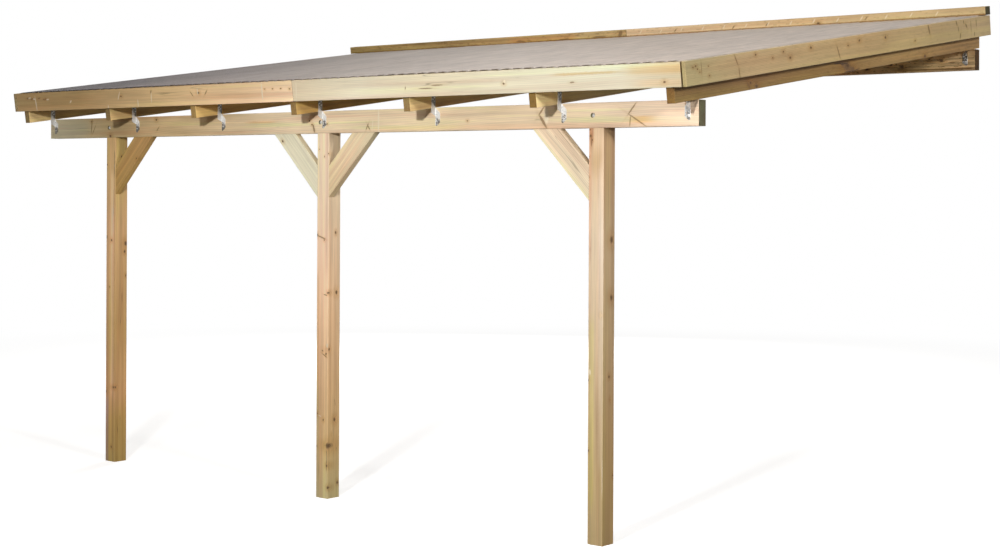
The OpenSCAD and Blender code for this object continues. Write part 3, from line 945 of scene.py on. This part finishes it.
anchorLook = {
    "thick": 0.002, "bend": 0.0012, "fold": 0.045,     # both legs are one over the fold's height
    "hole": 0.0025, "tip": 0.6,                        # a leg's point, in widths of the leg
    "nail": [(0.0042, 0), (0.0042, 0.0008), (0.00252, 0.0016), (0, 0.0018)],   # its head
    # share of the width from the fold and of the leg's length from the top
    "holes": [(0.35, 0.34), (0.72, 0.44), (0.35, 0.54), (0.72, 0.64), (0.35, 0.74), (0.3, 0.2)],
    "empty": 3,                                        # this hole has no nail
    # how bright the upper leg, the fold and the lower leg are painted, the last at both ends of a beam;
    # the front folds carry a painted highlight
    "front": (-0.4, 0.9, -0.75, 0.05), "wall": (-0.2, 0.1, -0.1, 0.1),
}
steelFront = zinc("zinc_anchor", rust=0.5, worn=0.52)
# the wall anchors' copy of the steel is darker, with more rust and dull metal: partly dirt, partly painted
# shade under the roof
steelWall = zinc("zinc_anchor_dull_shaded", rust=0.9, worn=0.66)
steelBolt = zinc("zinc_bolt", rust=0.4, rough=0.35, worn=0.34)


# A point of the flat pattern on the bent plate. u runs out along the beam where it is
# above 0 and forward along the rafter where it is below, and deep goes off the wood.
def bent(u, z, deep):
    outer = anchorLook["thick"] + anchorLook["bend"]
    if u >= outer:
        return Vector((u, -deep, z))
    if u <= -outer:
        return Vector((deep, u, z))
    turn = math.pi * (0.75 - 0.25 * u / outer)
    reach = outer - deep
    return Vector((outer + reach * math.cos(turn), reach * math.sin(turn) - outer, z))


# Fills an outline with round holes and thickens it, bent at the fold
def addPlate(steel, sheen, shine, outline, holes, place):
    look = anchorLook
    flat = bmesh.new()
    for rim in [outline] + [circle(look["hole"], 10, x, z) for x, z in holes]:
        corners = [flat.verts.new((x, z, 0)) for x, z in rim]
        for a, b in zip(corners, corners[1:] + corners[:1]):
            flat.edges.new((a, b))
    bmesh.ops.triangle_fill(flat, use_beauty=True, edges=flat.edges[:])
    outer = look["thick"] + look["bend"]
    for cutAt, across in [((outer * k, 0, 0), (1, 0, 0)) for k in (-1, -0.5, 0, 0.5, 1)] \
            + [((0, -look["fold"] * k, 0), (0, 1, 0)) for k in (0, 0.5, 1)]:
        bmesh.ops.bisect_plane(flat, geom=flat.verts[:] + flat.edges[:] + flat.faces[:],
                               plane_co=cutAt, plane_no=across)
    thicken(flat, flat.faces[:], (0, 0, look["thick"]))
    made = {}
    for v in flat.verts:
        made[v] = steel.verts.new(place @ bent(*v.co))
        # painted sheen of the upper leg, the fold (a painted highlight) or the lower leg
        made[v][sheen] = shine[(v.co.y <= 0.001) + (v.co.y <= -look["fold"] * 1.01)]
    for face in flat.faces:
        steel.faces.new([made[v] for v in face.verts])
    flat.free()


def addAnchors(node, faceY, topZ, material, shines):
    look = anchorLook
    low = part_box(node)[0]
    wide, leg, fold = faceY - low.y, topZ - low.z, look["fold"]
    tip, slant = wide * look["tip"], fold - wide / 2
    outline = [(0, 0), (look["thick"], 0), (wide, -slant), (wide, tip - leg), (tip / 2, -leg),
               (0, tip / 3 - leg), (0, -fold), (-wide, -slant), (-wide, leg - tip),
               (-tip / 2, leg), (0, leg - tip / 3)]
    holes = [(wide * a, -leg * b) for a, b in look["holes"]]
    holes += [(-u, -z) for u, z in holes[:-1]]
    plates, nails = bmesh.new(), bmesh.new()
    sheen = plates.verts.layers.float.new("sheen")
    for i in range(1, 8):
        rafterLow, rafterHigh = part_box("rafter_%d" % i)
        last = i == 7                                  # its anchors are inside the frame
        corner = Vector((rafterLow.x if last else rafterHigh.x, faceY, topZ))
        place = Matrix.Translation(corner) @ Matrix.Diagonal((-1 if last else 1, 1, 1, 1))
        lower = shines[2] + (shines[3] - shines[2]) * min(1, (i - 1) / 4)
        addPlate(plates, sheen, (shines[0], shines[1], lower), outline, holes, place)
        for k, (u, z) in enumerate(holes):
            if k % (len(look["holes"]) + 1) == look["empty"]:
                continue
            foot = Matrix.Translation(bent(u, z, look["thick"]))
            turned = Matrix.Rotation(math.radians(90), 4, "X" if u > 0 else "Y")
            lathe(nails, look["nail"], place @ foot @ turned, 12)
    addPiece(node + "_plates", plates, material, stands=(node,))
    addPiece(node + "_nails", nails, steelBolt)


addAnchors("front_anchors", beamLow.y, beamHigh.z, steelFront, anchorLook["front"])
addAnchors("wall_anchors", wallLow.y, wallHigh.z, steelWall, anchorLook["wall"])


def addBolts():
    bolts = bmesh.new()
    floor, rear = boltLook["recessDeep"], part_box("post_left")[1].y - beamLow.y
    for spot in boltPlaces():
        place = Matrix.Translation(spot) @ intoBeam
        for part, base, sides in (("washer", floor, 28), ("head", floor, 6),
                                  ("rearWasher", rear, 28), ("nut", rear, 6), ("thread", rear, 20)):
            lathe(bolts, [(wide, base + high) for wide, high in boltLook[part]], place, sides)
    addPiece("post_bolt_set", bolts, steelBolt, stands=("post_bolts",))


addBolts()
print("steel built")

lightSet = {
    # two before the posts, one off the right-hand end, one over the roof and one behind: how
    # far right, before the posts and above the ground, then size and power
    "lamps": {
        "key": (3.25, 5.1, 3.15, 0.35, 258),
        "second": (1.5, 4.9, 2.75, 0.35, 34),
        "side": (9.5, 2.1, 3.8, 1, 375),
        "over": (0.5, -1.5, 9, 4, 150),
        "behind": (-5.5, -8.7, 2.6, 1.6, 420),
    },
    "sky": (1, 0.86, 0.64), "skyStrength": 0.08,
    # how pale the floor is for the light it throws back and where it is seen, its own glow,
    # half its size, and from where to where it fades to white
    "floor": 0.12, "floorSeen": 0.8, "floorLift": 0.68, "floorHalf": 60, "fade": (4.5, 11),
}


# 1 for the rays that see a background, 0 for those that carry its light
def seenDirectly(wire):
    rays = [wire.node("LightPath", out="Is %s Ray" % kind)
            for kind in ("Camera", "Glossy", "Transmission")]
    return rays[0].maths("MAXIMUM", rays[1]).maths("MAXIMUM", rays[2])


def addFloor():
    mesh = bpy.data.meshes.new("floor")
    half = lightSet["floorHalf"]
    mesh.from_pydata([(-half, -half, ground), (half, -half, ground), (half, half, ground),
                      (-half, half, ground)], [], [(0, 1, 2, 3)])
    floor = addObject("floor", mesh)
    material, wire = newMaterial("pale_floor")
    far = wire.node("TexCoord", out="Object").apart((0, cadLow.y / 2, ground)).rise(*lightSet["fade"])
    plain, lit = (wire.node("BsdfDiffuse", None, {"Color": (lightSet[key],) * 3 + (1,)})
                  for key in ("floor", "floorSeen"))
    lift, white = (wire.node("Emission", None, {"Strength": glow})
                   for glow in (lightSet["floorLift"], 1))
    close = wire.node("AddShader", None, {0: lit, 1: lift})
    shown = wire.node("MixShader", None, {0: far, 1: close, 2: white})
    finish(wire, wire.node("MixShader", None, {0: seenDirectly(wire), 1: plain, 2: shown}))
    mesh.materials.append(material)


def addWorld():
    world = bpy.data.worlds.new("studio")
    bpy.context.scene.world = world
    world.use_nodes = True
    world.node_tree.nodes.clear()
    wire = Wire(world.node_tree)
    seen = seenDirectly(wire)
    dim = lightSet["skyStrength"]
    shade = wire.node("Background", None, {
        "Color": wire.blend(seen, lightSet["sky"], (1, 1, 1)), "Strength": seen * (1 - dim) + dim})
    wire.node("OutputWorld", None, {"Surface": shade})


def addLamps():
    aim = Vector((0, cadLow.y, (ground + cadHigh.z) / 2))
    for name, (x, before, above, size, power) in lightSet["lamps"].items():
        data = bpy.data.lights.new(name, "AREA")
        data.shape, data.size, data.energy = "DISK", size, power
        lamp = addObject(name, data)
        lamp.location = (x, cadLow.y - before, ground + above)
        lamp.rotation_euler = (aim - lamp.location).to_track_quat("-Z", "Y").to_euler()
        lamp.visible_camera = False


addFloor()
addWorld()
addLamps()
bpy.context.scene.view_settings.view_transform = "Standard"
print("light and floor set")
